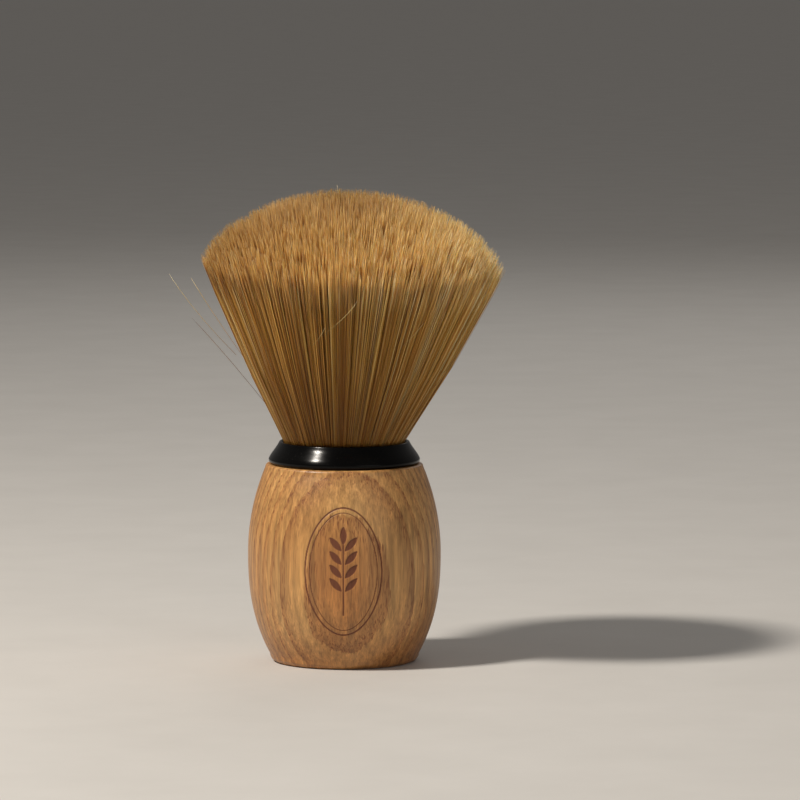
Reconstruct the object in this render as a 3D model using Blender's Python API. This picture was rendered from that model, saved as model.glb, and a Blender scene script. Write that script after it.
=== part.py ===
"""Barber's flared brush on a barrel handle, as its separate pieces.

A turned ash handle has a blind socket bored into its top. A black moulded collar stands
on the handle and reaches into the socket with a hollow spigot. The fibre bundle passes
through the collar, is tied round its root with yarn and is locked over the collar's
ledge by a resin plug. An adhesive bed holds the spigot in the socket.

Every piece is turned about +Z. The origin is the middle of the base that the brush
stands on. Lengths are in metres; the sizes below are in millimetres times MM.
"""

import math

import bmesh
import bpy

MM = 0.001
GAP = 0.3 * MM
MERGE_DISTANCE = 0.005 * MM
SHARP_ANGLE = math.radians(32.0)
ROUND_STEPS = 48

# Handle: a barrel, widest a little above its middle.
HANDLE_HEIGHT = 53.5 * MM
BELLY_HEIGHT = 29.5 * MM
BELLY_RADIUS = 26.0 * MM
HANDLE_TOP_RADIUS = 20.9 * MM
HANDLE_BASE_RADIUS = 19.0 * MM
UPPER_FULLNESS = 2.0
LOWER_FULLNESS = 2.5
TOP_EDGE_ROUNDING = 0.9 * MM
BASE_EDGE_ROUNDING = 2.0 * MM
BARREL_RINGS = 13

# Socket in the handle's top.
SOCKET_RADIUS = 16.3 * MM
SOCKET_DEPTH = 17.0 * MM
SOCKET_CHAMFER = 0.6 * MM

# Collar: a bevelled ring on the handle, with a spigot that reaches into the socket.
COLLAR_BOTTOM = HANDLE_HEIGHT + GAP
COLLAR_HEIGHT = 5.7 * MM
COLLAR_RADIUS = 20.4 * MM
COLLAR_FOOT_ROUNDING = 0.95 * MM
COLLAR_BELLY_HEIGHT = 1.1 * MM
COLLAR_BELLY_ROUNDING = 0.6 * MM
FLANK_LENGTH = 5.2 * MM
FLANK_SEGMENTS = 8
BROW_ROUNDING = 0.35 * MM
LIP_INNER_RADIUS = 16.9 * MM
LIP_DEPTH = 0.3 * MM
SPIGOT_RADIUS = 15.2 * MM
SPIGOT_LENGTH = 14.5 * MM
SPIGOT_CHAMFER = 0.4 * MM
GROOVE_DEPTH = 0.4 * MM
GROOVE_WIDTH = 1.2 * MM
GROOVE_COUNT = 2
BORE_RADIUS = 13.4 * MM
LEDGE_RADIUS = 10.5 * MM
LEDGE_THICKNESS = 1.6 * MM

# Resin plug, cast through the ledge's hole and over the ledge.
PLUG_THICKNESS = 3.5 * MM

# Fibre bundle: a root of nearly constant width, then a flare with a domed end.
ROOT_CHAMFER = 0.4 * MM
RIM_HEIGHT = 107.0 * MM
RIM_RADIUS = 40.1 * MM
DOME_HEIGHT = 21.0 * MM
DOME_POWER = 1.36
FLARE_BOW = 1.5 * MM
FLARE_RINGS = 10
DOME_RINGS = 8
BUNDLE_STEPS = 72
FLUTE_WAVES = ((36, 0.32 * MM, 0.0), (22, 0.22 * MM, 0.7), (14, 0.16 * MM, 1.9))
TUFT_WAVES = ((24, 0.35 * MM, 0.4), (10, 0.25 * MM, 2.1))

# Root binding: turns of yarn, one above the other, in a waist of the bundle.
YARN_TURNS = 3
YARN_DIAMETER = 0.8 * MM
YARN_POINTS = 4
BINDING_LIFT = 1.7 * MM

# Adhesive bed: a thin cup between the spigot and the socket.
BED_WALL_TOP = 3.0 * MM


def clear_scene():
    """Remove every object, so the script starts from nothing."""
    for item in list(bpy.data.objects):
        bpy.data.objects.remove(item, do_unlink=True)


def make_material(name, colour, roughness):
    """A plain non-metal material."""
    material = bpy.data.materials.new(name)
    material.use_nodes = True
    shader = material.node_tree.nodes["Principled BSDF"]
    shader.inputs["Base Color"].default_value = (*colour, 1.0)
    shader.inputs["Roughness"].default_value = roughness
    shader.inputs["Metallic"].default_value = 0.0
    material.diffuse_color = (*colour, 1.0)
    return material


def arc(centre, radius, start, end, count):
    """Points (r, z) on an arc, both ends included; angles in degrees, 0 outward, 90 up."""
    points = []
    for index in range(count + 1):
        angle = math.radians(start + (end - start) * index / count)
        points.append((centre[0] + radius * math.cos(angle), centre[1] + radius * math.sin(angle)))
    return points


def turned_solid(name, outline, material, steps=ROUND_STEPS, closed=False):
    """Spin an outline of (r, z) points about +Z into one closed solid.

    An open outline starts and ends on the axis; a closed one makes a ring.
    """
    work = bmesh.new()
    verts = [work.verts.new((r, 0.0, z)) for r, z in outline]
    edges = [work.edges.new(pair) for pair in zip(verts, verts[1:])]
    if closed:
        edges.append(work.edges.new((verts[-1], verts[0])))
    bmesh.ops.spin(
        work,
        geom=verts + edges,
        cent=(0.0, 0.0, 0.0),
        axis=(0.0, 0.0, 1.0),
        angle=2.0 * math.pi,
        steps=steps,
        use_merge=True,
    )
    bmesh.ops.remove_doubles(work, verts=work.verts, dist=MERGE_DISTANCE)
    bmesh.ops.recalc_face_normals(work, faces=work.faces)
    mesh = bpy.data.meshes.new(name)
    work.to_mesh(mesh)
    work.free()
    mesh.materials.append(material)
    mesh.shade_smooth()
    mesh.set_sharp_from_angle(angle=SHARP_ANGLE)
    piece = bpy.data.objects.new(name, mesh)
    bpy.context.scene.collection.objects.link(piece)
    return piece


def barrel_radius(height):
    """Radius of the handle's outside at a height."""
    if height >= BELLY_HEIGHT:
        share = (height - BELLY_HEIGHT) / (HANDLE_HEIGHT - BELLY_HEIGHT)
        return BELLY_RADIUS - (BELLY_RADIUS - HANDLE_TOP_RADIUS) * share**UPPER_FULLNESS
    share = (BELLY_HEIGHT - height) / BELLY_HEIGHT
    return BELLY_RADIUS - (BELLY_RADIUS - HANDLE_BASE_RADIUS) * share**LOWER_FULLNESS


def make_handle(material):
    """Barrel handle with a blind socket in its top."""
    floor = HANDLE_HEIGHT - SOCKET_DEPTH
    outline = [
        (0.0, floor),
        (SOCKET_RADIUS, floor),
        (SOCKET_RADIUS, HANDLE_HEIGHT - SOCKET_CHAMFER),
        (SOCKET_RADIUS + SOCKET_CHAMFER, HANDLE_HEIGHT),
    ]
    upper = HANDLE_HEIGHT - TOP_EDGE_ROUNDING
    lower = BASE_EDGE_ROUNDING
    outline += arc((barrel_radius(upper) - TOP_EDGE_ROUNDING, upper), TOP_EDGE_ROUNDING, 90, 15, 3)
    for ring in range(BARREL_RINGS + 1):
        height = upper + (lower - upper) * ring / BARREL_RINGS
        outline.append((barrel_radius(height), height))
    outline += arc((barrel_radius(lower) - BASE_EDGE_ROUNDING, lower), BASE_EDGE_ROUNDING, -20, -90, 4)
    outline.append((0.0, 0.0))
    return turned_solid("handle", outline, material)


def spigot_outline():
    """Outside of the collar's spigot, downwards, with shallow glue grooves."""
    bottom = COLLAR_BOTTOM - SPIGOT_LENGTH
    points = [(SPIGOT_RADIUS, COLLAR_BOTTOM)]
    pitch = SPIGOT_LENGTH / (GROOVE_COUNT + 1)
    for groove in range(1, GROOVE_COUNT + 1):
        middle = COLLAR_BOTTOM - pitch * groove
        points.append((SPIGOT_RADIUS, middle + GROOVE_WIDTH / 2))
        points.append((SPIGOT_RADIUS - GROOVE_DEPTH, middle + GROOVE_WIDTH / 4))
        points.append((SPIGOT_RADIUS - GROOVE_DEPTH, middle - GROOVE_WIDTH / 4))
        points.append((SPIGOT_RADIUS, middle - GROOVE_WIDTH / 2))
    points.append((SPIGOT_RADIUS, bottom + SPIGOT_CHAMFER))
    points.append((SPIGOT_RADIUS - SPIGOT_CHAMFER, bottom))
    return points


def smooth_step(value, low, high):
    """0 below low, 1 above high, and a smooth rise between them."""
    share = min(max((value - low) / (high - low), 0.0), 1.0)
    return share * share * (3 - 2 * share)


def collar_flank(start):
    """The collar's flank from its lower end up: convex at its foot, a little hollow at its top."""
    points = [start]
    step = FLANK_LENGTH / FLANK_SEGMENTS
    for index in range(FLANK_SEGMENTS):
        place = (index + 0.5) / FLANK_SEGMENTS
        facing = 26.0 + 9.5 * smooth_step(place, 0.0, 0.34) - 7.5 * smooth_step(place, 0.64, 0.97)
        turn = math.radians(facing)
        radius, height = points[-1]
        points.append((radius - step * math.sin(turn), height + step * math.cos(turn)))
    return points


def make_collar(material):
    """Moulded collar: ring with a sloping flank, lip, spigot and the ledge the plug locks over."""
    top = COLLAR_BOTTOM + COLLAR_HEIGHT
    ledge_bottom = COLLAR_BOTTOM - SPIGOT_LENGTH
    ledge_top = ledge_bottom + LEDGE_THICKNESS
    foot_centre = (COLLAR_RADIUS - COLLAR_FOOT_ROUNDING, COLLAR_BOTTOM + COLLAR_FOOT_ROUNDING)
    belly_centre = (COLLAR_RADIUS - COLLAR_BELLY_ROUNDING, COLLAR_BOTTOM + COLLAR_BELLY_HEIGHT)
    belly = arc(belly_centre, COLLAR_BELLY_ROUNDING, 25, 0, 2)
    flank = collar_flank(belly[0])
    outline = [
        (LIP_INNER_RADIUS, top - LIP_DEPTH),
        (LIP_INNER_RADIUS + LIP_DEPTH / 2, top),
        (flank[-1][0] - BROW_ROUNDING, top),
    ]
    outline += flank[:0:-1]
    outline += belly
    outline += arc(foot_centre, COLLAR_FOOT_ROUNDING, -10, -80, 4)
    outline += spigot_outline()
    outline += [
        (LEDGE_RADIUS, ledge_bottom),
        (LEDGE_RADIUS, ledge_top),
        (BORE_RADIUS, ledge_top),
        (BORE_RADIUS, COLLAR_BOTTOM),
    ]
    return turned_solid("collar", outline, material, closed=True)


def make_resin_plug(material):
    """Cast plug: a disc on the ledge with a neck down through the ledge's hole."""
    ledge_bottom = COLLAR_BOTTOM - SPIGOT_LENGTH
    disc_bottom = ledge_bottom + LEDGE_THICKNESS + GAP
    disc_top = disc_bottom + PLUG_THICKNESS
    outline = [
        (0.0, disc_top),
        (BORE_RADIUS - GAP, disc_top),
        (BORE_RADIUS - GAP, disc_bottom),
        (LEDGE_RADIUS - GAP, disc_bottom),
        (LEDGE_RADIUS - GAP, ledge_bottom),
        (0.0, ledge_bottom),
    ]
    turned_solid("resin_plug", outline, material)
    return disc_top


def make_root_binding(material, waist_bottom):
    """Yarn turns laid one above the other, as one ring with a rippled outside."""
    radius = YARN_DIAMETER / 2
    centre_radius = BORE_RADIUS - GAP - radius
    outline = []
    for turn in reversed(range(YARN_TURNS)):
        centre = (centre_radius, waist_bottom + GAP + radius + turn * YARN_DIAMETER)
        points = arc(centre, radius, 75, -75, YARN_POINTS)
        outline += points
    inner = centre_radius - radius
    outline.append((inner, waist_bottom + GAP))
    outline.append((inner, waist_bottom + GAP + YARN_TURNS * YARN_DIAMETER))
    turned_solid("root_binding", outline, material, closed=True)
    return inner - GAP, GAP * 2 + YARN_TURNS * YARN_DIAMETER


def flare_radius(height):
    """Radius of the flared part between the collar's mouth and the rim."""
    mouth = COLLAR_BOTTOM + COLLAR_HEIGHT
    share = (height - mouth) / (RIM_HEIGHT - mouth)
    start = LIP_INNER_RADIUS - GAP * 2
    return start + (RIM_RADIUS - start) * share + FLARE_BOW * math.sin(math.pi * share**1.4)


def wave_sum(waves, angle):
    """Sum of even cosine waves round the axis, so opposite sides match."""
    return sum(size * math.cos(count * angle + phase) for count, size, phase in waves)


def ruffle_fibres(piece):
    """Press shallow flutes into the flare and raise small tufts on the dome."""
    mouth = COLLAR_BOTTOM + COLLAR_HEIGHT
    for vert in piece.data.vertices:
        x, y, z = vert.co
        radius = math.hypot(x, y)
        if z <= mouth or radius < MM:
            continue
        angle = math.atan2(y, x)
        share = min((z - mouth) / (RIM_HEIGHT - mouth), 1.0)
        on_dome = max(0.0, (z - RIM_HEIGHT) / DOME_HEIGHT)
        scale = 1.0 + wave_sum(FLUTE_WAVES, angle) * share * (1.0 - on_dome) / radius
        lift = wave_sum(TUFT_WAVES, angle) * on_dome * radius / RIM_RADIUS
        vert.co = (x * scale, y * scale, z + lift)
    piece.data.update()


def make_bristle_bundle(material, root_bottom, waist_bottom, waist_radius, waist_height):
    """The fibres as one solid: tied root, flare and domed end."""
    mouth = COLLAR_BOTTOM + COLLAR_HEIGHT
    root_radius = BORE_RADIUS - GAP
    outline = [(0.0, RIM_HEIGHT + DOME_HEIGHT)]
    for ring in range(1, DOME_RINGS):
        angle = math.radians(90.0 * (1.0 - ring / DOME_RINGS))
        rise = DOME_HEIGHT * math.sin(angle) ** DOME_POWER
        outline.append((RIM_RADIUS * math.cos(angle), RIM_HEIGHT + rise))
    for ring in range(FLARE_RINGS + 1):
        height = RIM_HEIGHT + (mouth - RIM_HEIGHT) * ring / FLARE_RINGS
        outline.append((flare_radius(height), height))
    outline += [
        (root_radius, COLLAR_BOTTOM),
        (root_radius, waist_bottom + waist_height + GAP),
        (waist_radius, waist_bottom + waist_height),
        (waist_radius, waist_bottom),
        (root_radius, waist_bottom - GAP),
        (root_radius, root_bottom + ROOT_CHAMFER),
        (root_radius - ROOT_CHAMFER, root_bottom),
        (0.0, root_bottom),
    ]
    piece = turned_solid("bristle_bundle", outline, material, steps=BUNDLE_STEPS)
    ruffle_fibres(piece)
    return piece


def make_adhesive_bed(material):
    """Thin glue cup: a floor under the spigot and a wall round it."""
    floor = HANDLE_HEIGHT - SOCKET_DEPTH + GAP
    floor_top = COLLAR_BOTTOM - SPIGOT_LENGTH - GAP
    wall_top = HANDLE_HEIGHT - BED_WALL_TOP
    outline = [
        (0.0, floor_top),
        (SPIGOT_RADIUS + GAP, floor_top),
        (SPIGOT_RADIUS + GAP, wall_top),
        (SOCKET_RADIUS - GAP, wall_top),
        (SOCKET_RADIUS - GAP, floor),
        (0.0, floor),
    ]
    return turned_solid("adhesive_bed", outline, material)


def build_brush():
    """Make every piece of the brush where it sits."""
    clear_scene()
    ash = make_material("lacquered_ash", (0.50, 0.30, 0.14), 0.38)
    plastic = make_material("black_plastic", (0.010, 0.010, 0.011), 0.12)
    fibre = make_material("golden_fibre", (0.44, 0.28, 0.11), 0.55)
    yarn = make_material("natural_yarn", (0.62, 0.56, 0.44), 0.85)
    resin = make_material("amber_resin", (0.42, 0.24, 0.08), 0.25)
    glue = make_material("clear_adhesive", (0.66, 0.58, 0.40), 0.30)

    make_handle(ash)
    make_collar(plastic)
    root_bottom = make_resin_plug(resin) + GAP
    waist_bottom = root_bottom + BINDING_LIFT
    waist_radius, waist_height = make_root_binding(yarn, waist_bottom)
    make_bristle_bundle(fibre, root_bottom, waist_bottom, waist_radius, waist_height)
    make_adhesive_bed(glue)


build_brush()
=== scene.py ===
"""Looks of the barber's flared brush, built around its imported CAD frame.

The handle, the collar and the fibres are fine meshes that stand for their CAD nodes. The
hidden pieces keep their CAD shape and get a better material. Lengths are in metres, in the
row frame: +Z up, the engraved side of the handle faces -Y. Sizes below are in millimetres
times MM.
"""

import math

import bpy
import numpy as np
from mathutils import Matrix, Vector
from mathutils.kdtree import KDTree


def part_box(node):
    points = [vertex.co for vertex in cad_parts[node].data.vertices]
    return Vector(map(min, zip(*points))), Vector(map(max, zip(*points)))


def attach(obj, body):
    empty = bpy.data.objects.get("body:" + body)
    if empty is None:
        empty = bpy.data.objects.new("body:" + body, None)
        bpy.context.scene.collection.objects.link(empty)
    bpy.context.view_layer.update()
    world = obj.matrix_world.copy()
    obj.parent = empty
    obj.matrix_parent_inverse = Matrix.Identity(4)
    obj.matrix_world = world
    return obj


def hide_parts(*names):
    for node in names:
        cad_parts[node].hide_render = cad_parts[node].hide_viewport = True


MM = 0.001
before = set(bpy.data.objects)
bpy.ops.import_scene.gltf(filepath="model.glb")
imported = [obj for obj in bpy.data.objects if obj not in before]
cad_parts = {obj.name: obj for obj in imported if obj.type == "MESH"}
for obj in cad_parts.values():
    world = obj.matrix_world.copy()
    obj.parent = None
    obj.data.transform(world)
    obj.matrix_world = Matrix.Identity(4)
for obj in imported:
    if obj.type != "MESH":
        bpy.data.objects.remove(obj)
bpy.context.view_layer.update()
BODY = "root"

# The camera and the floor.
CAMERA_DISTANCE = 1.38
CAMERA_HEIGHT = 0.202
LOOK_AT = Vector((0.0150, 0.0, 0.0705))
SENSOR = 36.0
VIEW_WIDTH = 0.2153
FLOOR_HALF = 40.0

# Places that come from the frame.
HANDLE_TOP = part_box("handle")[1].z
SOCKET_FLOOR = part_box("adhesive_bed")[0].z - 0.3 * MM
COLLAR_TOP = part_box("collar")[1].z
SPIGOT_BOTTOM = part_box("collar")[0].z
BELLY_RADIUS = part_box("handle")[1].x
CROWN_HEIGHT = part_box("bristle_bundle")[1].z


# ---------------------------------------------------------------- mesh and node helpers


def mesh_object(name, points, faces, smooth=True):
    """A mesh object from an array of points and a list of faces."""
    mesh = bpy.data.meshes.new(name)
    mesh.from_pydata([tuple(p) for p in points], [], faces)
    mesh.validate()
    if smooth:
        mesh.shade_smooth()
    piece = bpy.data.objects.new(name, mesh)
    bpy.context.scene.collection.objects.link(piece)
    return piece


def fast_mesh(name, points, corners, sizes):
    """A mesh object from arrays: points, the faces' corners in one row, and each face's size."""
    mesh = bpy.data.meshes.new(name)
    mesh.vertices.add(len(points))
    mesh.vertices.foreach_set("co", np.asarray(points, np.float32).ravel())
    mesh.loops.add(len(corners))
    mesh.loops.foreach_set("vertex_index", np.asarray(corners, np.int32))
    mesh.polygons.add(len(sizes))
    starts = np.concatenate(([0], np.cumsum(sizes)[:-1]))
    mesh.polygons.foreach_set("loop_start", starts.astype(np.int32))
    mesh.update(calc_edges=True)
    mesh.shade_smooth()
    piece = bpy.data.objects.new(name, mesh)
    bpy.context.scene.collection.objects.link(piece)
    return piece


class Nodes:
    """A short way to build a material's nodes."""

    def __init__(self, name):
        self.material = bpy.data.materials.new(name)
        self.material.use_nodes = True
        self.tree = self.material.node_tree
        self.shader = self.tree.nodes["Principled BSDF"]

    def add(self, kind, **settings):
        """A new node with its settings."""
        node = self.tree.nodes.new(kind)
        for key, value in settings.items():
            setattr(node, key, value)
        return node

    def feed(self, socket, value):
        """Link a node's output to a socket, or set the socket's value."""
        if isinstance(value, bpy.types.NodeSocket):
            self.tree.links.new(value, socket)
        elif isinstance(value, tuple) and len(value) == 3 and socket.type == "RGBA":
            socket.default_value = (*value, 1.0)
        else:
            socket.default_value = value

    def math(self, operation, first, second=0.0):
        """The result of a math operation on one or two values."""
        node = self.add("ShaderNodeMath", operation=operation)
        self.feed(node.inputs[0], first)
        self.feed(node.inputs[1], second)
        return node.outputs[0]

    def blend(self, factor, low, high, blend_type="MIX"):
        """A mix of two colours."""
        node = self.add("ShaderNodeMix", data_type="RGBA", blend_type=blend_type)
        self.feed(node.inputs[0], factor)
        self.feed(node.inputs[6], low)
        self.feed(node.inputs[7], high)
        return node.outputs[2]

    def span(self, value, low, high, new_low=0.0, new_high=1.0, smooth=False):
        """A value moved from one range to another and held inside it."""
        node = self.add("ShaderNodeMapRange")
        node.interpolation_type = "SMOOTHSTEP" if smooth else "LINEAR"
        for socket, item in zip(node.inputs, (value, low, high, new_low, new_high)):
            self.feed(socket, item)
        return node.outputs[0]

    def noise(self, scale, detail, rough, offset=(0.0, 0.0, 0.0)):
        """Noise with its own number of waves a metre along each axis."""
        node = self.add("ShaderNodeTexNoise")
        self.feed(node.inputs["Vector"], self.scaled_place(scale, offset))
        node.inputs["Scale"].default_value = 1.0
        node.inputs["Detail"].default_value = detail
        node.inputs["Roughness"].default_value = rough
        return node.outputs[0]

    def ramp(self, factor, stops):
        """A colour read from a list of (place, colour) stops."""
        node = self.add("ShaderNodeValToRGB")
        elements = node.color_ramp.elements
        while len(elements) < len(stops):
            elements.new(0.5)
        for element, (place, colour) in zip(elements, stops):
            element.position = place
            element.color = (*colour, 1.0)
        self.feed(node.inputs[0], factor)
        return node.outputs[0]

    def scaled_place(self, scale, offset):
        """The point on the object, in metres, times a scale along each axis, plus an offset."""
        node = self.add("ShaderNodeMapping")
        self.feed(node.inputs["Vector"], self.place())
        node.inputs["Scale"].default_value = scale
        node.inputs["Location"].default_value = offset
        return node.outputs[0]

    def place(self):
        """The point on the object, in metres."""
        return self.add("ShaderNodeTexCoord").outputs["Object"]

    def bump(self, height, distance, strength):
        """Surface relief from a height value."""
        node = self.add("ShaderNodeBump")
        self.feed(node.inputs["Height"], height)
        node.inputs["Distance"].default_value = distance
        node.inputs["Strength"].default_value = strength
        self.feed(self.shader.inputs["Normal"], node.outputs[0])


def put(piece, material, slot, *cad_nodes):
    """Give a piece its material, its place in the frame and the CAD nodes it stands for."""
    piece.data.materials.clear()
    piece.data.materials.append(material)
    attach(piece, BODY)
    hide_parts(*cad_nodes)


# ---------------------------------------------------------------- handle


TOP_RADIUS = 20.9 * MM
BASE_RADIUS = 19.0 * MM
BELLY_HEIGHT = 29.5 * MM
TOP_EDGE = 0.9 * MM
BASE_EDGE = 2.0 * MM
# Height below which the wood is painted with shade towards the base.
FOOT_PAINTED_SHADE_HEIGHT = 16.0 * MM
SOCKET_RADIUS = 16.3 * MM
SOCKET_CHAMFER = 0.6 * MM
UPPER_CURVE = 2
LOWER_CURVE = 2.5
FINE_STEP = 0.15 * MM
SHARP_ANGLE = math.radians(50)

# Growth rings, in millimetres below the handle's front, and how far their depth tilts for
# each metre up and across and strays with three sizes of noise.
FIRST_RING = 3.1
FRONT_RING_STEP = 4.7
BACK_RING_STEP = 2.6
RING_LEVEL = 24.0 * MM
RING_TILT_UP = 96.0
RING_TILT_ACROSS = -62.0
RING_WANDER = 3.2
RING_RIPPLE = 1.3
RING_TOOTH = 0.9
MOST_RINGS = 60.0

EMBLEM_HEIGHT = 27.0 * MM
EMBLEM_WIDTH = 21.0 * MM
EMBLEM_TALL = 34.0 * MM
EMBLEM_LINE = 0.42 * MM
EMBLEM_INSET = 1.3 * MM
SPRIG_MIDDLE = -2.2 * MM
STEM_LENGTH = 19.0 * MM
STEM_WIDTH = 0.42 * MM
LEAF_PAIRS = 4
LEAF_PITCH = 3.6 * MM
LEAF_LENGTH = 4.9 * MM
LEAF_WIDTH = 1.75 * MM
LEAF_ANGLE = 42
LEAF_GAP = 0.45 * MM
ENGRAVING_DEPTH = 0.12 * MM
ENGRAVING_EDGE = 0.10 * MM


def barrel_radius(height):
    """Radius of the handle's outside at a height."""
    if height >= BELLY_HEIGHT:
        share = (height - BELLY_HEIGHT) / (HANDLE_TOP - BELLY_HEIGHT)
        return BELLY_RADIUS - (BELLY_RADIUS - TOP_RADIUS) * share**UPPER_CURVE
    share = (BELLY_HEIGHT - height) / BELLY_HEIGHT
    return BELLY_RADIUS - (BELLY_RADIUS - BASE_RADIUS) * share**LOWER_CURVE


def box_distance(x, z, centre_x, centre_z, half_x, half_z):
    """Signed distance to an upright rectangle, negative inside."""
    dx = np.abs(x - centre_x) - half_x
    dz = np.abs(z - centre_z) - half_z
    outside = np.hypot(np.maximum(dx, 0), np.maximum(dz, 0))
    return outside + np.minimum(np.maximum(dx, dz), 0)


def leaf_distance(x, z, foot_x, foot_z, angle, length, width):
    """Signed distance to a pointed leaf that grows from its foot; angle is from +x, in degrees."""
    turn = math.radians(angle)
    dx = x - foot_x
    dz = z - foot_z
    along = np.abs(dx * math.cos(turn) + dz * math.sin(turn) - length / 2)
    across = np.abs(dz * math.cos(turn) - dx * math.sin(turn))
    bulge = ((length / 2) ** 2 - (width / 2) ** 2) / width
    side = np.hypot(along, across + bulge) - (bulge + width / 2)
    tip = np.hypot(along - length / 2, across)
    return np.where(along < length / 2, side, tip)


def emblem_distance(x, z):
    """Signed distance to the engraved emblem: a leaf sprig in an oval of two lines.

    x is measured along the surface from the handle's front line, z from the emblem's middle.
    """
    half_w = EMBLEM_WIDTH / 2
    half_t = EMBLEM_TALL / 2
    level = np.hypot(x / half_w, z / half_t)
    slope = np.hypot(x / half_w**2, z / half_t**2) / np.maximum(level, 1e-6)
    oval = (level - 1.0) / np.maximum(slope, 1e-6)
    shape = np.minimum(
        np.abs(oval) - EMBLEM_LINE / 2,
        np.abs(oval + EMBLEM_INSET) - EMBLEM_LINE / 4,
    )
    stem = box_distance(x, z, 0.0, SPRIG_MIDDLE, STEM_WIDTH / 2, STEM_LENGTH / 2)
    shape = np.minimum(shape, stem)
    top = SPRIG_MIDDLE + STEM_LENGTH / 2
    shape = np.minimum(shape, leaf_distance(x, z, 0.0, top, 90, LEAF_LENGTH, LEAF_WIDTH))
    for pair in range(LEAF_PAIRS):
        foot = top - (pair + 0.45) * LEAF_PITCH
        for side in (-1, 1):
            angle = 90 - side * LEAF_ANGLE
            leaf = leaf_distance(x, z, side * LEAF_GAP, foot, angle, LEAF_LENGTH, LEAF_WIDTH)
            shape = np.minimum(shape, leaf)
    return shape


def emblem_mask(x, z):
    """1 inside the engraving, 0 outside, with a short soft edge."""
    share = np.clip(0.5 - emblem_distance(x, z) / ENGRAVING_EDGE, 0.0, 1.0)
    return share * share * (3 - 2 * share)


def even_steps(start, end, step):
    """Values from start towards end, end left out, about a step apart."""
    count = max(1, round(abs(end - start) / step))
    return [start + (end - start) * index / count for index in range(count)]


def handle_outline():
    """The turned outline as (radius, height, on the barrel), from the socket's floor to the base."""
    fine_top = EMBLEM_HEIGHT + EMBLEM_TALL / 2 + 0.6 * MM
    fine_bottom = EMBLEM_HEIGHT - EMBLEM_TALL / 2 - 0.6 * MM
    upper = HANDLE_TOP - TOP_EDGE
    rows = [
        (SOCKET_RADIUS, SOCKET_FLOOR, False),
        (SOCKET_RADIUS, HANDLE_TOP - SOCKET_CHAMFER, False),
        (SOCKET_RADIUS + SOCKET_CHAMFER, HANDLE_TOP, False),
    ]
    edge = barrel_radius(upper) - TOP_EDGE
    for angle in even_steps(90, 8, 12):
        turn = math.radians(angle)
        rows.append((edge + TOP_EDGE * math.cos(turn), upper + TOP_EDGE * math.sin(turn), False))
    heights = even_steps(upper, fine_top, 1.2 * MM) + even_steps(fine_top, fine_bottom, FINE_STEP)
    heights += even_steps(fine_bottom, BASE_EDGE, 1.0 * MM) + [BASE_EDGE]
    rows += [(barrel_radius(height), height, True) for height in heights]
    edge = barrel_radius(BASE_EDGE) - BASE_EDGE
    for angle in even_steps(-15, -90, 12) + [-90]:
        turn = math.radians(angle)
        rows.append((edge + BASE_EDGE * math.cos(turn), BASE_EDGE + BASE_EDGE * math.sin(turn), False))
    return rows


def handle_angles():
    """Angles round the handle from its front line, fine over the emblem."""
    fine = (EMBLEM_WIDTH / 2 + 0.5 * MM) / BELLY_RADIUS
    inside = even_steps(-fine, fine, FINE_STEP / BELLY_RADIUS)
    outside = even_steps(fine, 2 * math.pi - fine, math.radians(2.5))
    return np.array(inside + outside)


def make_handle():
    """The turned handle as a fine mesh, with the emblem sunk into its front."""
    rows = handle_outline()
    angles = handle_angles()
    columns = len(angles)
    radius = np.array([row[0] for row in rows])[:, None]
    height = np.array([row[1] for row in rows])[:, None]
    on_barrel = np.array([row[2] for row in rows])[:, None]
    wrapped = (angles + math.pi) % (2 * math.pi) - math.pi
    along = wrapped[None, :] * BELLY_RADIUS
    burn = emblem_mask(along, height - EMBLEM_HEIGHT) * on_barrel
    sunk = radius - burn * ENGRAVING_DEPTH
    points = np.empty((len(rows), columns, 3))
    points[..., 0] = sunk * np.sin(angles)
    points[..., 1] = -sunk * np.cos(angles)
    points[..., 2] = height
    faces = []
    for row in range(len(rows) - 1):
        low = row * columns
        for column in range(columns):
            after = (column + 1) % columns
            faces.append((low + after, low + column, low + columns + column, low + columns + after))
    faces.append(tuple(range(columns)))
    faces.append(tuple(reversed(range((len(rows) - 1) * columns, len(rows) * columns))))
    piece = mesh_object("handle_wood", points.reshape(-1, 3), faces)
    piece.data.set_sharp_from_angle(angle=SHARP_ANGLE)
    attribute = piece.data.attributes.new("burn", "FLOAT", "POINT")
    attribute.data.foreach_set("value", burn.ravel().astype(np.float32))
    put(piece, wood_material(), "lacquered_ash", "handle")


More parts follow.
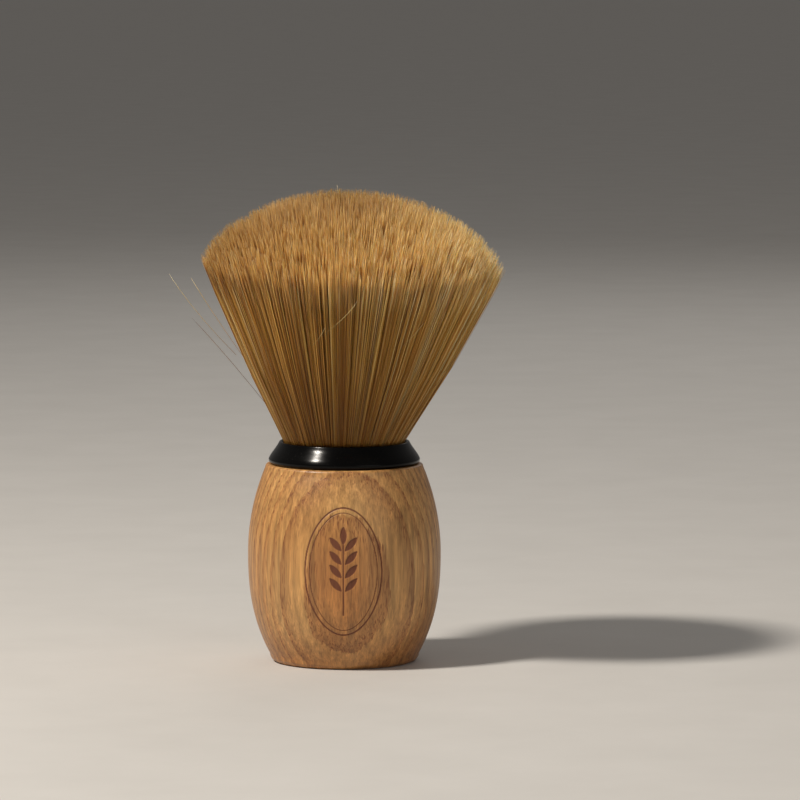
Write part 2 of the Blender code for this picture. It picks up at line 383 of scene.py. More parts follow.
def wood_material():
    """Lacquered ash: growth rings that lie flat behind the front, with porous early wood."""
    n = Nodes("lacquered_ash_grain")
    place = n.place()
    split = n.add("ShaderNodeSeparateXYZ")
    n.feed(split.inputs[0], place)
    x, y, z = split.outputs

    # Depth below the front in millimetres, tilted and made uneven, gives the rings.
    wander = n.noise((24.0, 24.0, 14.0), 2.0, 0.45)
    ripple = n.noise((240.0, 240.0, 30.0), 2.0, 0.5)
    tooth = n.noise((2300.0, 2300.0, 230.0), 1.0, 0.5)
    depth = n.math("MULTIPLY", n.math("ADD", y, BELLY_RADIUS), 1000.0)
    depth = n.math("ADD", depth, n.math("MULTIPLY", n.math("SUBTRACT", z, RING_LEVEL), RING_TILT_UP))
    depth = n.math("ADD", depth, n.math("MULTIPLY", x, RING_TILT_ACROSS))
    for noise, amount in ((wander, RING_WANDER), (ripple, RING_RIPPLE), (tooth, RING_TOOTH)):
        depth = n.math("ADD", depth, n.math("MULTIPLY", n.math("SUBTRACT", noise, 0.5), amount))
    wide = n.math("DIVIDE", n.math("SUBTRACT", depth, FIRST_RING), FRONT_RING_STEP)
    narrow = n.math("MAXIMUM", n.math("SUBTRACT", depth, FIRST_RING + FRONT_RING_STEP), 0.0)
    extra = 1.0 / BACK_RING_STEP - 1.0 / FRONT_RING_STEP
    rings = n.math("ADD", wide, n.math("MULTIPLY", narrow, extra))
    ring_place = n.math("FRACT", n.math("SUBTRACT", MOST_RINGS, rings))

    early = n.ramp(
        ring_place,
        [
            (0.00, (0.0, 0.0, 0.0)),
            (0.03, (1.0, 1.0, 1.0)),
            (0.12, (0.85, 0.85, 0.85)),
            (0.34, (0.42, 0.42, 0.42)),
            (0.85, (0.06, 0.06, 0.06)),
        ],
    )
    # Pores and fibre lines run along the trunk.
    lines = n.noise((820.0, 820.0, 22.0), 3.0, 0.6)
    fine = n.noise((2600.0, 2600.0, 110.0), 2.0, 0.6, (0.3, 0.1, 0.7))
    streak = n.noise((2900.0, 2900.0, 210.0), 1.0, 0.5, (5.3, 2.1, 1.7))
    pores = n.span(streak, 0.54, 0.66, 0.0, 1.0, smooth=True)
    pores = n.math("MULTIPLY", pores, n.span(early, 0.10, 0.85, 0.16, 1.0))
    cloud = n.noise((70.0, 70.0, 30.0), 3.0, 0.5, (3.1, 1.7, 0.4))

    late_wood = n.ramp(
        cloud,
        [(0.30, (0.535, 0.268, 0.088)), (0.52, (0.630, 0.336, 0.112)), (0.72, (0.690, 0.395, 0.150))],
    )
    early_wood = n.blend(cloud, (0.340, 0.132, 0.038), (0.440, 0.198, 0.064))
    colour = n.blend(n.math("MULTIPLY", early, 0.80), late_wood, early_wood)
    grain = n.math("MULTIPLY", n.span(lines, 0.28, 0.72, 0.60, 1.32), n.span(fine, 0.3, 0.7, 0.80, 1.10))
    grain_colour = n.add("ShaderNodeCombineColor")
    for socket in grain_colour.inputs:
        n.feed(socket, grain)
    colour = n.blend(1.0, colour, grain_colour.outputs[0], "MULTIPLY")
    colour = n.blend(n.math("MULTIPLY", pores, 0.80), colour, (0.200, 0.062, 0.018))

    heart = n.span(depth, 0.0, FIRST_RING, 1.0, 0.0, smooth=True)
    colour = n.blend(heart, colour, n.blend(1.0, colour, (0.92, 0.75, 0.63), "MULTIPLY"))
    # Painted shade: the wood is painted darker and redder towards the base.
    foot = n.span(z, 0.0, FOOT_PAINTED_SHADE_HEIGHT, 1.0, 0.0, smooth=True)
    colour = n.blend(foot, colour, n.blend(1.0, colour, (0.80, 0.70, 0.62), "MULTIPLY"))

    burn = n.add("ShaderNodeAttribute", attribute_name="burn").outputs["Fac"]
    char = n.blend(fine, (0.120, 0.028, 0.011), (0.180, 0.052, 0.022))
    colour = n.blend(n.math("MULTIPLY", burn, 0.94), colour, char)
    n.feed(n.shader.inputs["Base Color"], colour)

    rough = n.math("ADD", n.span(lines, 0.3, 0.7, 0.36, 0.46), n.math("MULTIPLY", pores, 0.12))
    rough = n.math("ADD", rough, n.math("MULTIPLY", burn, 0.30))
    n.feed(n.shader.inputs["Roughness"], rough)
    n.shader.inputs["Coat Weight"].default_value = 0.12
    n.shader.inputs["Coat Roughness"].default_value = 0.22
    relief = n.math("SUBTRACT", n.math("MULTIPLY", fine, 0.35), pores)
    n.bump(relief, 0.00005, 0.6)
    return n.material


# ---------------------------------------------------------------- collar


COLLAR_STEPS = 192
COLLAR_SEAT = HANDLE_TOP + 0.06 * MM
COLLAR_RADIUS = 20.4 * MM
MOUTH_RADIUS = 16.9 * MM
SPIGOT_RADIUS = 15.2 * MM
BORE_RADIUS = 13.4 * MM
LEDGE_RADIUS = 10.5 * MM
FOOT_ROUNDING = 0.95 * MM
BELLY_ROUNDING = 0.6 * MM
BELLY_LIFT = 0.15 * MM
BELLY_END = 25
FLANK_LENGTH = 5.2 * MM
FLANK_SEGMENTS = 28
FLANK_FOOT_ANGLE = 26
FLANK_BULGE = 9.5
FLANK_HOLLOW = 7.5
FLANK_TOP_ANGLE = FLANK_FOOT_ANGLE + FLANK_BULGE - FLANK_HOLLOW
BROW_ROUNDING = 0.35 * MM
LIP_ROUNDING = 0.2 * MM
LEDGE_THICKNESS = 1.6 * MM
SPIGOT_CHAMFER = 0.4 * MM


def arc(centre, radius, start, end, count):
    """Points (r, z) on an arc, both ends included; angles in degrees, 0 outward, 90 up."""
    turns = [math.radians(start + (end - start) * index / count) for index in range(count + 1)]
    return [(centre[0] + radius * math.cos(t), centre[1] + radius * math.sin(t)) for t in turns]


def smooth_step(value, low, high):
    """0 below low, 1 above high, and a smooth rise between them."""
    share = min(max((value - low) / (high - low), 0.0), 1.0)
    return share * share * (3 - 2 * share)


def collar_flank(start):
    """The collar's flank from its lower end up: convex at its foot, a little hollow at its top."""
    points = [start]
    step = FLANK_LENGTH / FLANK_SEGMENTS
    for index in range(FLANK_SEGMENTS):
        place = (index + 0.5) / FLANK_SEGMENTS
        bulge = FLANK_BULGE * smooth_step(place, 0.0, 0.34)
        hollow = FLANK_HOLLOW * smooth_step(place, 0.64, 0.97)
        turn = math.radians(FLANK_FOOT_ANGLE + bulge - hollow)
        radius, height = points[-1]
        points.append((radius - step * math.sin(turn), height + step * math.cos(turn)))
    return points


def turned_piece(name, outline, steps):
    """Spin a closed outline of (r, z) points, which runs down its outer side, about +Z."""
    count = len(outline)
    points = []
    faces = []
    for step in range(steps):
        angle = 2 * math.pi * step / steps
        after = (step + 1) % steps
        points += [(r * math.cos(angle), r * math.sin(angle), z) for r, z in outline]
        for index in range(count):
            following = (index + 1) % count
            faces.append(
                (
                    step * count + index,
                    step * count + following,
                    after * count + following,
                    after * count + index,
                )
            )
    return mesh_object(name, points, faces)


def make_collar():
    """The moulded collar with its rounded edges, lip, spigot and ledge."""
    top = COLLAR_TOP
    ledge_top = SPIGOT_BOTTOM + LEDGE_THICKNESS
    foot_centre = (COLLAR_RADIUS - FOOT_ROUNDING, COLLAR_SEAT + FOOT_ROUNDING)
    belly_centre = (COLLAR_RADIUS - BELLY_ROUNDING, COLLAR_SEAT + FOOT_ROUNDING + BELLY_LIFT)
    belly = arc(belly_centre, BELLY_ROUNDING, 0, BELLY_END, 5)
    flank = collar_flank(belly[-1])
    turn = math.radians(FLANK_TOP_ANGLE)
    brow_radius = flank[-1][0] - BROW_ROUNDING * math.cos(turn)
    brow_height = flank[-1][1] - BROW_ROUNDING * math.sin(turn)
    brow = arc((brow_radius, brow_height), BROW_ROUNDING, FLANK_TOP_ANGLE, 90, 6)
    outline = [(MOUTH_RADIUS - 0.1 * MM, top - 0.5 * MM)]
    outline += arc((MOUTH_RADIUS + LIP_ROUNDING, top - LIP_ROUNDING), LIP_ROUNDING, 150, 90, 3)
    outline += brow[::-1] + flank[-2:0:-1] + belly[::-1]
    outline += arc(foot_centre, FOOT_ROUNDING, -8, -85, 8)
    outline += [
        (SPIGOT_RADIUS, COLLAR_SEAT),
        (SPIGOT_RADIUS, SPIGOT_BOTTOM + SPIGOT_CHAMFER),
        (SPIGOT_RADIUS - SPIGOT_CHAMFER, SPIGOT_BOTTOM),
        (LEDGE_RADIUS, SPIGOT_BOTTOM),
        (LEDGE_RADIUS, ledge_top),
        (BORE_RADIUS, ledge_top),
        (BORE_RADIUS, HANDLE_TOP),
    ]
    piece = turned_piece("collar_ring", outline, COLLAR_STEPS)
    piece.data.set_sharp_from_angle(angle=SHARP_ANGLE)
    put(piece, plastic_material(), "black_plastic", "collar")


def plastic_material():
    """Glossy black moulded plastic with faint smears, specks of dust and a slight ripple."""
    n = Nodes("gloss_black_plastic")
    smear = n.noise((90.0, 90.0, 240.0), 3.0, 0.55)
    speck = n.noise((2600.0, 2600.0, 2600.0), 2.0, 0.5)
    dust = n.span(speck, 0.66, 0.78, 0.0, 1.0)
    colour = n.blend(smear, (0.0008, 0.0008, 0.0009), (0.0020, 0.0019, 0.0018))
    colour = n.blend(n.math("MULTIPLY", dust, 0.25), colour, (0.050, 0.045, 0.040))
    n.feed(n.shader.inputs["Base Color"], colour)
    rough = n.span(smear, 0.3, 0.7, 0.13, 0.19)
    n.feed(n.shader.inputs["Roughness"], n.math("ADD", rough, n.math("MULTIPLY", dust, 0.2)))
    n.shader.inputs["IOR"].default_value = 1.46
    n.shader.inputs["Specular IOR Level"].default_value = 0.16
    n.bump(smear, 0.0003, 0.12)
    return n.material


# ---------------------------------------------------------------- fibres


FIBRE_SEED = 7
FIBRE_COUNT = 45000
FIBRE_PIECES = 10
FIBRE_SIDES = 3
FIBRE_RADIUS = 0.076 * MM
LEAST_THICKNESS = 0.8
MOST_THICKNESS = 1.25

# A fibre has six rings of corners: at its root, at these shares of the way from the mouth to
# its tip, where its taper starts, and at its tip. FIBRE_TAPER is its thickness at each.
FIBRE_STEPS = (0.0, 0.45, 0.88)
FIBRE_TAPER = (0.9, 0.95, 1.0, 1.0, 0.97, 0.28)
TAPER_LENGTH = 3.8 * MM

# Neighbouring fibres lean together: small locks and larger tufts of tips, which lean less by
# RIM_HOLD at the rim, and upright strands round the sides. A pull is the least and most share
# of the way to the group's middle that a fibre moves.
LOCK_COUNT = 5200
LOCK_PULL = (0.02, 0.22)
TUFT_COUNT = 620
TUFT_PULL = (0.02, 0.20)
RIM_HOLD = 0.75
STRAND_COUNT = 700
STRAND_WIDTHS = (0.4, 1.6)
STRAND_PULL = (0.08, 0.44)

# A tip's rise above the dome starts at START_RISE, strays by lock and tuft, is less away from
# their middles and less by random drops, and is held to HIGHEST_RISE.
START_RISE = 1.5 * MM
HIGHEST_RISE = 1.2 * MM
LOCK_RISE = 0.42 * MM
TUFT_RISE = 0.25 * MM
LOCK_ROUNDING = 0.4
TUFT_ROUNDING = 0.15
USUAL_DROP = 3.4 * MM
RIM_DROP = 1.2 * MM
TIP_SCATTER = 0.05 * MM
FIBRE_WAVE = 0.12 * MM

# The bundle's shape: root, mouth of the collar, rim and dome, and how far the outer fibres
# bow outward on the right and on the left.
MOUTH_HEIGHT = COLLAR_TOP
MOUTH_REACH = 16.35 * MM
ROOT_HEIGHT = HANDLE_TOP - 1.0 * MM
ROOT_REACH = 12.7 * MM
RIM_REACH = 40.5 * MM
RIM_HEIGHT = 106.4 * MM
RIM_TILT = 1.7 * MM
CROWN_DROP = 1.6 * MM
DOME_HEIGHT = CROWN_HEIGHT - RIM_HEIGHT - CROWN_DROP
DOME_POWER = 1.36
CROWN_SHIFT = 0.5 * MM
RIM_SHIFT = 2.3 * MM
RIGHT_BOW = 1.1 * MM
LEFT_BOW = 0.6 * MM

# A fibre's shade, 0 dark to 1 pale, and the tone that darkens or lightens its tip. The shade's
# shift by place is painted light and shade: the right is painted paler, the left a little darker,
# and both sides paler than the front and back middle. The tip's tone is all painted light and
# shade: painted shade at the crown and on the left, painted light towards the rim, on the right
# and at the front.
SHADES = 16
MIDDLE_SHADE = 0.41
RIGHT_SIDE_PAINTED_LIGHT = 0.09
LEFT_SIDE_PAINTED_SHADE = 0.04
SIDES_PAINTED_LIGHT = 0.06
LOCK_SHADE = 0.07
TUFT_SHADE = 0.05
GROUP_FADE = 0.8
STRAND_SHADE = 0.16
STRAND_CONTRAST = 0.35
FIBRE_SHADE = 0.18
PALE_SHARE = 0.03
PALE_SHADE = 0.35
PAINTED_TONE_LEVELS = 12
DARKEST_PAINTED_TONE = 0.12
LIGHTEST_PAINTED_TONE = 1.38
CROWN_PAINTED_SHADE = 0.31
RIM_PAINTED_LIGHT = 1.31
RIGHT_TIP_PAINTED_LIGHT = 0.12
LEFT_TIP_PAINTED_SHADE = 1.02
FRONT_TIP_PAINTED_LIGHT = 0.22

# Shares by which the palette map keeps clear of its columns' edges and of its ends, and the
# share of its height that a fibre's end cap takes up.
COLUMN_MARGIN = 0.15
END_MARGIN = 0.01
CAP_HEIGHT = 0.004


def dome_table():
    """Angles down from the crown and the share of the dome's surface above each."""
    angle = np.linspace(0.0, math.pi / 2, 721)
    reach = RIM_REACH * np.sin(angle)
    height = DOME_HEIGHT * np.cos(angle) ** DOME_POWER
    slant = np.hypot(np.diff(reach), np.diff(height))
    share = np.concatenate(([0.0], np.cumsum(slant * (reach[1:] + reach[:-1]) / 2)))
    return angle, share / share[-1]


def dome_points(share, turn):
    """Points on the domed end for a share of its surface and a turn about the axis."""
    angle, table = dome_table()
    down = np.interp(share, table, angle)
    reach = RIM_REACH * np.sin(down)
    x = reach * np.cos(turn)
    y = reach * np.sin(turn)
    tilt = RIM_TILT * (x / RIM_REACH) * (reach / RIM_REACH) ** 3
    z = RIM_HEIGHT - tilt + DOME_HEIGHT * np.cos(down) ** DOME_POWER
    shift = CROWN_SHIFT + (RIM_SHIFT - CROWN_SHIFT) * (reach / RIM_REACH) ** 2
    return np.column_stack((x + shift, y, z))


def gather(rng, tips, count, least, most):
    """Groups of neighbouring tips: the group, the move to its middle, the distance from it."""
    centres = dome_points(rng.random(count), rng.random(count) * 2 * math.pi)
    tree = KDTree(count)
    for index, centre in enumerate(centres):
        tree.insert(centre, index)
    tree.balance()
    group = np.array([tree.find(tip)[1] for tip in tips])
    away = centres[group] - tips
    pull = rng.uniform(least, most, count)[group][:, None]
    return group, away * pull, np.linalg.norm(away, axis=1)


def comb_strands(rng, turn):
    """Upright strands round the bundle: each fibre's strand and its turn towards the strand's middle."""
    widths = rng.uniform(*STRAND_WIDTHS, STRAND_COUNT)
    edges = np.concatenate(([0.0], np.cumsum(widths))) * 2 * math.pi / widths.sum()
    strand = np.clip(np.searchsorted(edges, turn, side="right") - 1, 0, STRAND_COUNT - 1)
    middle = (edges[strand] + edges[strand + 1]) / 2
    pull = rng.uniform(*STRAND_PULL, STRAND_COUNT)[strand]
    return strand, (middle - turn) * pull


def palette_column(shade, painted_tone):
    """The palette's column for a fibre's shade, 0 to 1, and its tip's painted light and shade."""
    level = (painted_tone - DARKEST_PAINTED_TONE) / (LIGHTEST_PAINTED_TONE - DARKEST_PAINTED_TONE)
    level = np.floor(np.clip(level, 0.0, 0.999) * PAINTED_TONE_LEVELS)
    return level * SHADES + np.floor(np.clip(shade, 0.0, 0.999) * SHADES)


def rises(rng, lock, lock_away, tuft, tuft_away, spread):
    """How far each fibre's tip stands above or below the dome, along the fibre."""
    rise = rng.normal(0.0, LOCK_RISE, LOCK_COUNT)[lock] + rng.normal(0.0, TUFT_RISE, TUFT_COUNT)[tuft]
    rise += START_RISE - LOCK_ROUNDING * lock_away - TUFT_ROUNDING * tuft_away
    rise -= rng.exponential(USUAL_DROP, len(spread))
    rise -= rng.exponential(RIM_DROP, len(spread)) * spread**14
    return np.minimum(rise, HIGHEST_RISE)


def fibre_shades(rng, lock, tuft, strand, side, spread):
    """Each fibre's shade, 0 dark to 1 pale: its groups', a painted light and shade by its place, and its
    own.
    """
    shade = rng.normal(0.0, LOCK_SHADE, LOCK_COUNT)[lock] + rng.normal(0.0, TUFT_SHADE, TUFT_COUNT)[tuft]
    shade *= 1 - GROUP_FADE * spread**6
    strands = rng.normal(0.0, STRAND_SHADE, STRAND_COUNT)
    strands -= STRAND_CONTRAST * (np.roll(strands, 1) + np.roll(strands, -1))
    shade += strands[strand] * spread**4
    shade += PALE_SHADE * (rng.random(len(side)) < PALE_SHARE)
    # Painted light and shade by place: the right is painted paler, the left a little darker, and both sides
    # paler than the front and back middle.
    shade += np.where(side > 0, RIGHT_SIDE_PAINTED_LIGHT * side * (1 + side), LEFT_SIDE_PAINTED_SHADE * side)
    shade += MIDDLE_SHADE + SIDES_PAINTED_LIGHT * np.abs(side)
    return shade + rng.normal(0.0, FIBRE_SHADE, len(side))


def painted_tip_tones(tips, side):
    """Each tip's painted tone: painted shade at crown and left, painted light at rim, right, front."""
    reach = np.hypot(tips[:, 0], tips[:, 1]) / RIM_REACH
    front = np.clip(-tips[:, 1] / RIM_REACH, 0.0, 1.0)
    left_painted_shade = LEFT_TIP_PAINTED_SHADE * np.abs(side) ** 1.6 * (1 - 0.5 * np.clip(reach, 0.0, 1.0) ** 8)
    painted_tone = CROWN_PAINTED_SHADE + (RIM_PAINTED_LIGHT - CROWN_PAINTED_SHADE) * reach
    painted_tone *= np.where(side > 0, 1 + RIGHT_TIP_PAINTED_LIGHT * side, 1 - left_painted_shade)
    return painted_tone * (1 + FRONT_TIP_PAINTED_LIGHT * front * np.clip(side + 0.3, 0.0, 1.0))


def fibre_lines(rng, count):
    """Centre lines of the fibres: an array of points and each fibre's column of the palette."""
    share = rng.random(count)
    spread = np.sqrt(share)[:, None]
    turn = rng.random(count) * 2 * math.pi
    strand, comb = comb_strands(rng, turn)
    turn = turn + comb * spread[:, 0] ** 6
    tips = dome_points(share, turn)
    lock, lock_move, lock_away = gather(rng, tips, LOCK_COUNT, *LOCK_PULL)
    tuft, tuft_move, tuft_away = gather(rng, tips, TUFT_COUNT, *TUFT_PULL)

    outward = np.column_stack((np.cos(turn), np.sin(turn), np.zeros(count)))
    mouth = outward * spread * MOUTH_REACH
    mouth[:, 2] = MOUTH_HEIGHT
    root = outward * spread * ROOT_REACH
    root[:, 2] = ROOT_HEIGHT

    ends = tips + (lock_move + tuft_move) * (1 - RIM_HOLD * spread**12)
    direction = ends - mouth
    direction /= np.linalg.norm(direction, axis=1)[:, None]
    ends += direction * rises(rng, lock, lock_away, tuft, tuft_away, spread[:, 0])[:, None]
    ends += rng.normal(0.0, TIP_SCATTER, (count, 3))

    bow = LEFT_BOW + (RIGHT_BOW - LEFT_BOW) * (outward[:, 0] + 1) / 2
    bow = bow[:, None] * spread**4 * outward
    wave = rng.normal(0.0, FIBRE_WAVE, (count, 3))
    taper = TAPER_LENGTH / np.linalg.norm(ends - mouth, axis=1)[:, None]
    lines = [root]
    for step in FIBRE_STEPS + (None, 1.0):
        place = 1.0 - taper if step is None else np.full((count, 1), step)
        swell = np.sin(math.pi * place**1.3)
        lines.append(mouth + (ends - mouth) * place + bow * swell + wave * swell)
    side = tips[:, 0] / RIM_REACH
    shade = fibre_shades(rng, lock, tuft, strand, side, spread[:, 0])
    return np.stack(lines, axis=1), palette_column(shade, painted_tip_tones(tips, side))


def palette_map(lines, column):
    """UVs of the fibres' faces: u picks the palette's column, v runs along the fibre."""
    count, rings = lines.shape[:2]
    sides = FIBRE_SIDES
    steps = np.linalg.norm(np.diff(lines, axis=1), axis=2)
    lengths = np.concatenate((np.zeros((count, 1)), np.cumsum(steps, axis=1)), axis=1)
    along = lengths / lengths[:, -1:]
    ring = np.arange(rings - 1)[None, :, None]
    side = np.arange(sides)[None, None, :]
    u_side = np.stack((side + 0 * ring, side + 1 + 0 * ring, side + 1 + 0 * ring, side + 0 * ring), axis=-1)
    u_side = np.broadcast_to(u_side, (count, rings - 1, sides, 4)).reshape(count, -1)
    v_low = np.broadcast_to(along[:, :-1, None, None], (count, rings - 1, sides, 2))
    v_high = np.broadcast_to(along[:, 1:, None, None], (count, rings - 1, sides, 2))
    v_quads = np.concatenate((v_low, v_high), axis=-1).reshape(count, -1)
    cap_u = np.tile([0.0, sides / 2, sides] * 2, (count, 1))
    cap_v = np.tile([0.0, CAP_HEIGHT, 0.0, 1.0, 1 - CAP_HEIGHT, 1.0], (count, 1))
    u_all = np.concatenate((u_side, cap_u), axis=1)
    u_all = column[:, None] + COLUMN_MARGIN + (1 - 2 * COLUMN_MARGIN) * u_all / sides
    u_all /= SHADES * PAINTED_TONE_LEVELS
    v_all = END_MARGIN + (1 - 2 * END_MARGIN) * np.concatenate((v_quads, cap_v), axis=1)
    return np.stack((u_all, v_all), axis=-1).astype(np.float32)


def fibre_mesh(name, lines, column, radii, rng):
    """One mesh of thin closed prisms along the lines, with the palette map as its UVs."""
    count, rings = lines.shape[:2]
    sides = FIBRE_SIDES
    direction = lines[:, -1] - lines[:, 1]
    direction /= np.linalg.norm(direction, axis=1)[:, None]
    across = np.cross(direction, (0.0, 1.0, 0.0))
    across /= np.linalg.norm(across, axis=1)[:, None]
    other = np.cross(direction, across)
    start = rng.random(count) * 2 * math.pi
    corner = start[:, None] + np.arange(sides)[None, :] * 2 * math.pi / sides
    round_about = np.cos(corner)[..., None] * across[:, None] + np.sin(corner)[..., None] * other[:, None]
    points = lines[:, :, None, :] + round_about[:, None] * radii[..., None, None]

    base = np.arange(count)[:, None, None] * rings * sides
    ring = np.arange(rings - 1)[None, :, None] * sides
    side = np.arange(sides)[None, None, :]
    after = (side + 1) % sides
    quads = np.stack(
        (base + ring + side, base + ring + after, base + ring + sides + after, base + ring + sides + side),
        axis=-1,
    ).reshape(count, -1)
    first = np.arange(count)[:, None] * rings * sides
    bottom = first + np.arange(sides)[None, ::-1]
    top = first + (rings - 1) * sides + np.arange(sides)[None, :]
    corners = np.concatenate((quads, bottom, top), axis=1)
    sizes = np.tile([4] * ((rings - 1) * sides) + [sides, sides], count)
    piece = fast_mesh(name, points.reshape(-1, 3), corners.ravel(), sizes)
    smooth = np.tile([True] * ((rings - 1) * sides) + [False, False], count)
    piece.data.polygons.foreach_set("use_smooth", smooth)

    layer = piece.data.uv_layers.new(name="OFBake")
    layer.data.foreach_set("uv", palette_map(lines, column).ravel())
    return piece


def fibre_material():
    """Golden nylon: the map's column sets the shade and the tip's painted light and shade, its height the
    place along the fibre; the lower part is painted darker as shade.
    """
    n = Nodes("golden_nylon_fibre")
    where = n.add("ShaderNodeUVMap", uv_map="OFBake").outputs[0]
    split = n.add("ShaderNodeSeparateXYZ")
    n.feed(split.inputs[0], where)
    level = n.math("MULTIPLY", split.outputs[0], PAINTED_TONE_LEVELS)
    shade = n.math("DIVIDE", n.math("FLOOR", n.math("MULTIPLY", n.math("FRACT", level), SHADES)), SHADES)
    last = PAINTED_TONE_LEVELS - 1
    # The level picks the tip's painted tone: painted light and shade.
    painted_tone = n.span(n.math("FLOOR", level), 0.0, last, DARKEST_PAINTED_TONE, LIGHTEST_PAINTED_TONE)
    along = split.outputs[1]
    body = n.ramp(
        shade,
        [
            (0.00, (0.200, 0.072, 0.010)),
            (0.25, (0.440, 0.185, 0.025)),
            (0.48, (0.640, 0.288, 0.047)),
            (0.72, (0.820, 0.460, 0.105)),
            (0.94, (0.860, 0.640, 0.290)),
        ],
    )
    # Painted shade: the fibres are painted darker from the middle down to the root, as the bundle's shade
    # there.
    low = n.blend(1.0, body, (0.50, 0.42, 0.34), "MULTIPLY")
    # The tip's colour is multiplied by its painted tone: painted light and shade.
    painted_tip_tone = n.add("ShaderNodeCombineColor")
    for socket, power in zip(painted_tip_tone.inputs, (0.95, 1.22, 1.60)):
        n.feed(socket, n.math("POWER", painted_tone, power))
    tip = n.blend(1.0, n.blend(0.11, body, (0.860, 0.650, 0.380)), painted_tip_tone.outputs[0], "MULTIPLY")
    colour = n.blend(n.span(along, 0.12, 0.80, 0.0, 1.0, smooth=True), low, body)
    colour = n.blend(n.span(along, 0.81, 0.94, 0.0, 1.0, smooth=True), colour, tip)
    n.feed(n.shader.inputs["Base Color"], colour)
    n.shader.inputs["Roughness"].default_value = 0.42
    n.shader.inputs["IOR"].default_value = 1.45
    n.shader.inputs["Specular IOR Level"].default_value = 0.45
    n.shader.inputs["Subsurface Weight"].default_value = 0.34
    n.shader.inputs["Subsurface Radius"].default_value = (1.0, 0.6, 0.3)
    n.shader.inputs["Subsurface Scale"].default_value = 0.5 * MM
    return n.material


def make_fibres():
    """All the fibres, shared out over a few pieces."""
    rng = np.random.default_rng(FIBRE_SEED)
    lines, column = fibre_lines(rng, FIBRE_COUNT)
    thickness = FIBRE_RADIUS * rng.uniform(LEAST_THICKNESS, MOST_THICKNESS, FIBRE_COUNT)
    radii = thickness[:, None] * np.array(FIBRE_TAPER)[None, :]
    material = fibre_material()
    order = np.argsort(np.arctan2(lines[:, -1, 1], lines[:, -1, 0]))
    for index, part in enumerate(np.array_split(order, FIBRE_PIECES)):
        piece = fibre_mesh(f"fibres_{index + 1}", lines[part], column[part], radii[part], rng)
        put(piece, material, "golden_fibre", "bristle_bundle")


# Single fibres that stand out of the bundle or lie loose on it: start, middle and end in
# millimetres, and shade. The shade is painted light and shade: 0 paints a fibre as in shadow,
# the pale ones are painted as lit.
STRAY_FIBRES = [
    ((-20.5, -2.0, 69.0), (-31.6, -2.6, 82.6), (-40.9, -3.0, 93.0), 0.00),
    ((-29.0, 1.0, 82.5), (-39.4, 0.6, 94.0), (-47.0, 0.0, 104.5), 0.90),
    ((-26.8, 2.0, 81.5), (-34.4, 1.6, 92.6), (-41.2, 1.0, 103.4), 0.75),
    ((-4.6, -34.9, 91.3), (0.6, -37.5, 96.0), (3.9, -39.6, 100.2), 0.97),
    ((-7.9, -32.6, 88.0), (-6.0, -34.1, 90.4), (-4.6, -35.6, 93.0), 0.97),
    ((15.8, -29.2, 87.6), (18.6, -29.4, 90.4), (21.2, -29.9, 93.6), 0.97),
    ((-0.6, -3.0, 120.0), (-1.2, -3.0, 125.0), (-1.9, -3.2, 128.6), 0.97),
]
STRAY_RADIUS = 0.070 * MM


def make_stray_fibres():
    """A few single fibres that were bent out of the bundle."""
    rng = np.random.default_rng(FIBRE_SEED + 1)
    shares = np.linspace(0.0, 1.0, len(FIBRE_TAPER))
    weights = ((1 - shares) ** 2, 2 * shares * (1 - shares), shares**2)
    lines = []
    for start, middle, end, _ in STRAY_FIBRES:
        lift = 2 * np.array(middle) - (np.array(start) + np.array(end)) / 2
        corners = (np.array(start), lift, np.array(end))
        lines.append(sum(weight[:, None] * corner for weight, corner in zip(weights, corners)) * MM)
    painted_shades = np.array([shade for *_, shade in STRAY_FIBRES])
    # Painted light and shade: the pale strays get the lightest painted tone on their tips, the dark one the
    # darkest.
    column = palette_column(painted_shades, np.where(painted_shades > 0.5, LIGHTEST_PAINTED_TONE, DARKEST_PAINTED_TONE))
    radii = np.tile(STRAY_RADIUS * np.array(FIBRE_TAPER), (len(STRAY_FIBRES), 1))
    piece = fibre_mesh("fibres_stray", np.array(lines), column, radii, rng)
    put(piece, bpy.data.materials["golden_nylon_fibre"], "golden_fibre", "bristle_bundle")


# ---------------------------------------------------------------- hidden pieces


def hidden_materials():
    """Materials for the CAD nodes that stay: yarn, cast resin and glue."""
    n = Nodes("yarn_wraps")
    twist = n.noise((900.0, 900.0, 2600.0), 3.0, 0.6)
    n.feed(n.shader.inputs["Base Color"], n.blend(twist, (0.40, 0.34, 0.25), (0.74, 0.68, 0.55)))
    n.shader.inputs["Roughness"].default_value = 0.85
    n.bump(twist, 0.0002, 0.8)
    yarn = n.material

    n = Nodes("cast_amber_resin")
    cloud = n.noise((220.0, 220.0, 220.0), 3.0, 0.5)
    n.feed(n.shader.inputs["Base Color"], n.blend(cloud, (0.30, 0.15, 0.045), (0.52, 0.32, 0.12)))
    n.feed(n.shader.inputs["Roughness"], n.span(cloud, 0.3, 0.7, 0.15, 0.30))
    resin = n.material

    n = Nodes("set_adhesive")
    cloud = n.noise((320.0, 320.0, 320.0), 3.0, 0.5)
    n.feed(n.shader.inputs["Base Color"], n.blend(cloud, (0.52, 0.44, 0.28), (0.76, 0.70, 0.52)))
    n.feed(n.shader.inputs["Roughness"], n.span(cloud, 0.3, 0.7, 0.22, 0.40))
    glue = n.material

    for node, material in (("root_binding", yarn), ("resin_plug", resin), ("adhesive_bed", glue)):
        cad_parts[node].data.materials.clear()
        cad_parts[node].data.materials.append(material)


# ---------------------------------------------------------------- studio


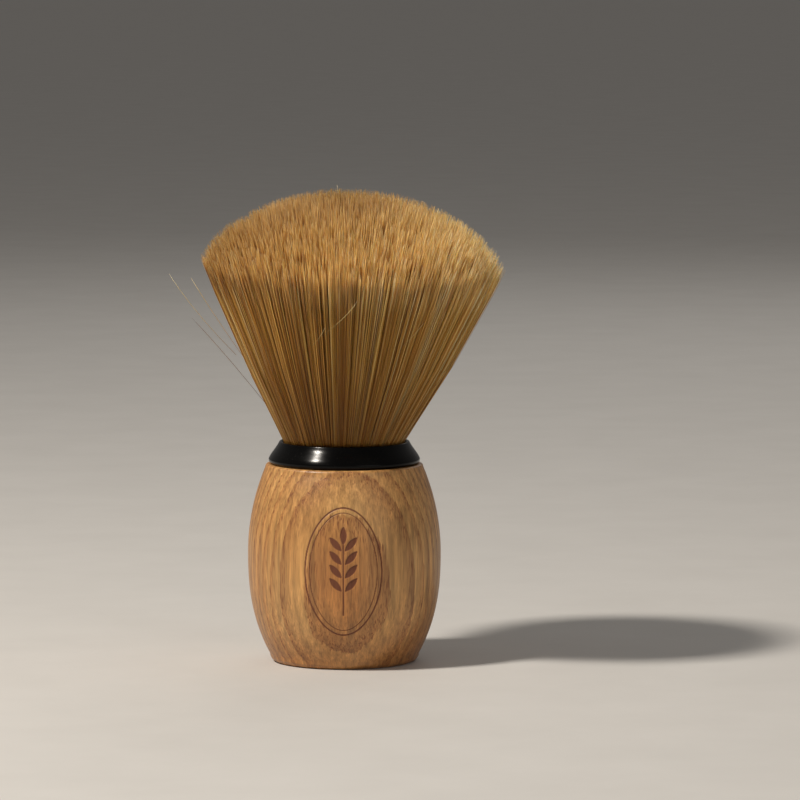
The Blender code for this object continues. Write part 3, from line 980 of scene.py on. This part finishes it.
def make_floor():
    """A large plain pale floor."""
    half = FLOOR_HALF
    corners = [(-half, -half, 0), (half, -half, 0), (half, half, 0), (-half, half, 0)]
    floor = mesh_object("studio_floor", corners, [(0, 1, 2, 3)], smooth=False)
    n = Nodes("pale_floor")
    mottle = n.noise((30.0, 30.0, 30.0), 4.0, 0.6)
    n.feed(n.shader.inputs["Base Color"], n.blend(mottle, (0.60, 0.585, 0.56), (0.68, 0.665, 0.64)))
    n.shader.inputs["Roughness"].default_value = 0.8
    floor.data.materials.append(n.material)


def area_light(name, place, target, size, power, colour):
    """A square soft light aimed at a point."""
    lamp = bpy.data.lights.new(name, "AREA")
    lamp.shape = "SQUARE"
    lamp.size = size
    lamp.energy = power
    lamp.color = colour
    light = bpy.data.objects.new(name, lamp)
    light.location = place
    light.rotation_euler = (Vector(target) - Vector(place)).to_track_quat("-Z", "Y").to_euler()
    bpy.context.scene.collection.objects.link(light)


def make_studio():
    """World, lights and camera."""
    world = bpy.data.worlds.new("studio")
    bpy.context.scene.world = world
    world.use_nodes = True
    world.node_tree.nodes["Background"].inputs["Color"].default_value = (0.50, 0.475, 0.45, 1.0)
    world.node_tree.nodes["Background"].inputs["Strength"].default_value = 0.32
    middle = (0.0, 0.0, 0.07)
    area_light("key", (-0.60, -0.32, 0.94), middle, 0.13, 12.0, (1.0, 0.93, 0.84))
    area_light("fill", (0.9, -1.1, 0.5), middle, 0.9, 1.6, (1.0, 0.97, 0.94))
    area_light("back", (0.3, 1.1, 0.9), middle, 0.8, 2.0, (1.0, 0.97, 0.93))
    bpy.context.scene.view_settings.view_transform = "Standard"

    camera_data = bpy.data.cameras.new("camera")
    camera_data.sensor_width = SENSOR
    camera_data.clip_start = 0.01
    camera_data.clip_end = 50.0
    camera = bpy.data.objects.new("camera", camera_data)
    place = Vector((LOOK_AT.x, -CAMERA_DISTANCE, CAMERA_HEIGHT))
    camera.location = place
    camera.rotation_euler = (LOOK_AT - place).to_track_quat("-Z", "Y").to_euler()
    camera_data.lens = SENSOR * (LOOK_AT - place).length / VIEW_WIDTH
    bpy.context.scene.collection.objects.link(camera)
    bpy.context.scene.camera = camera


make_studio()
make_floor()
make_handle()
make_collar()
make_fibres()
make_stray_fibres()
hidden_materials()

bpy.context.view_layer.update()
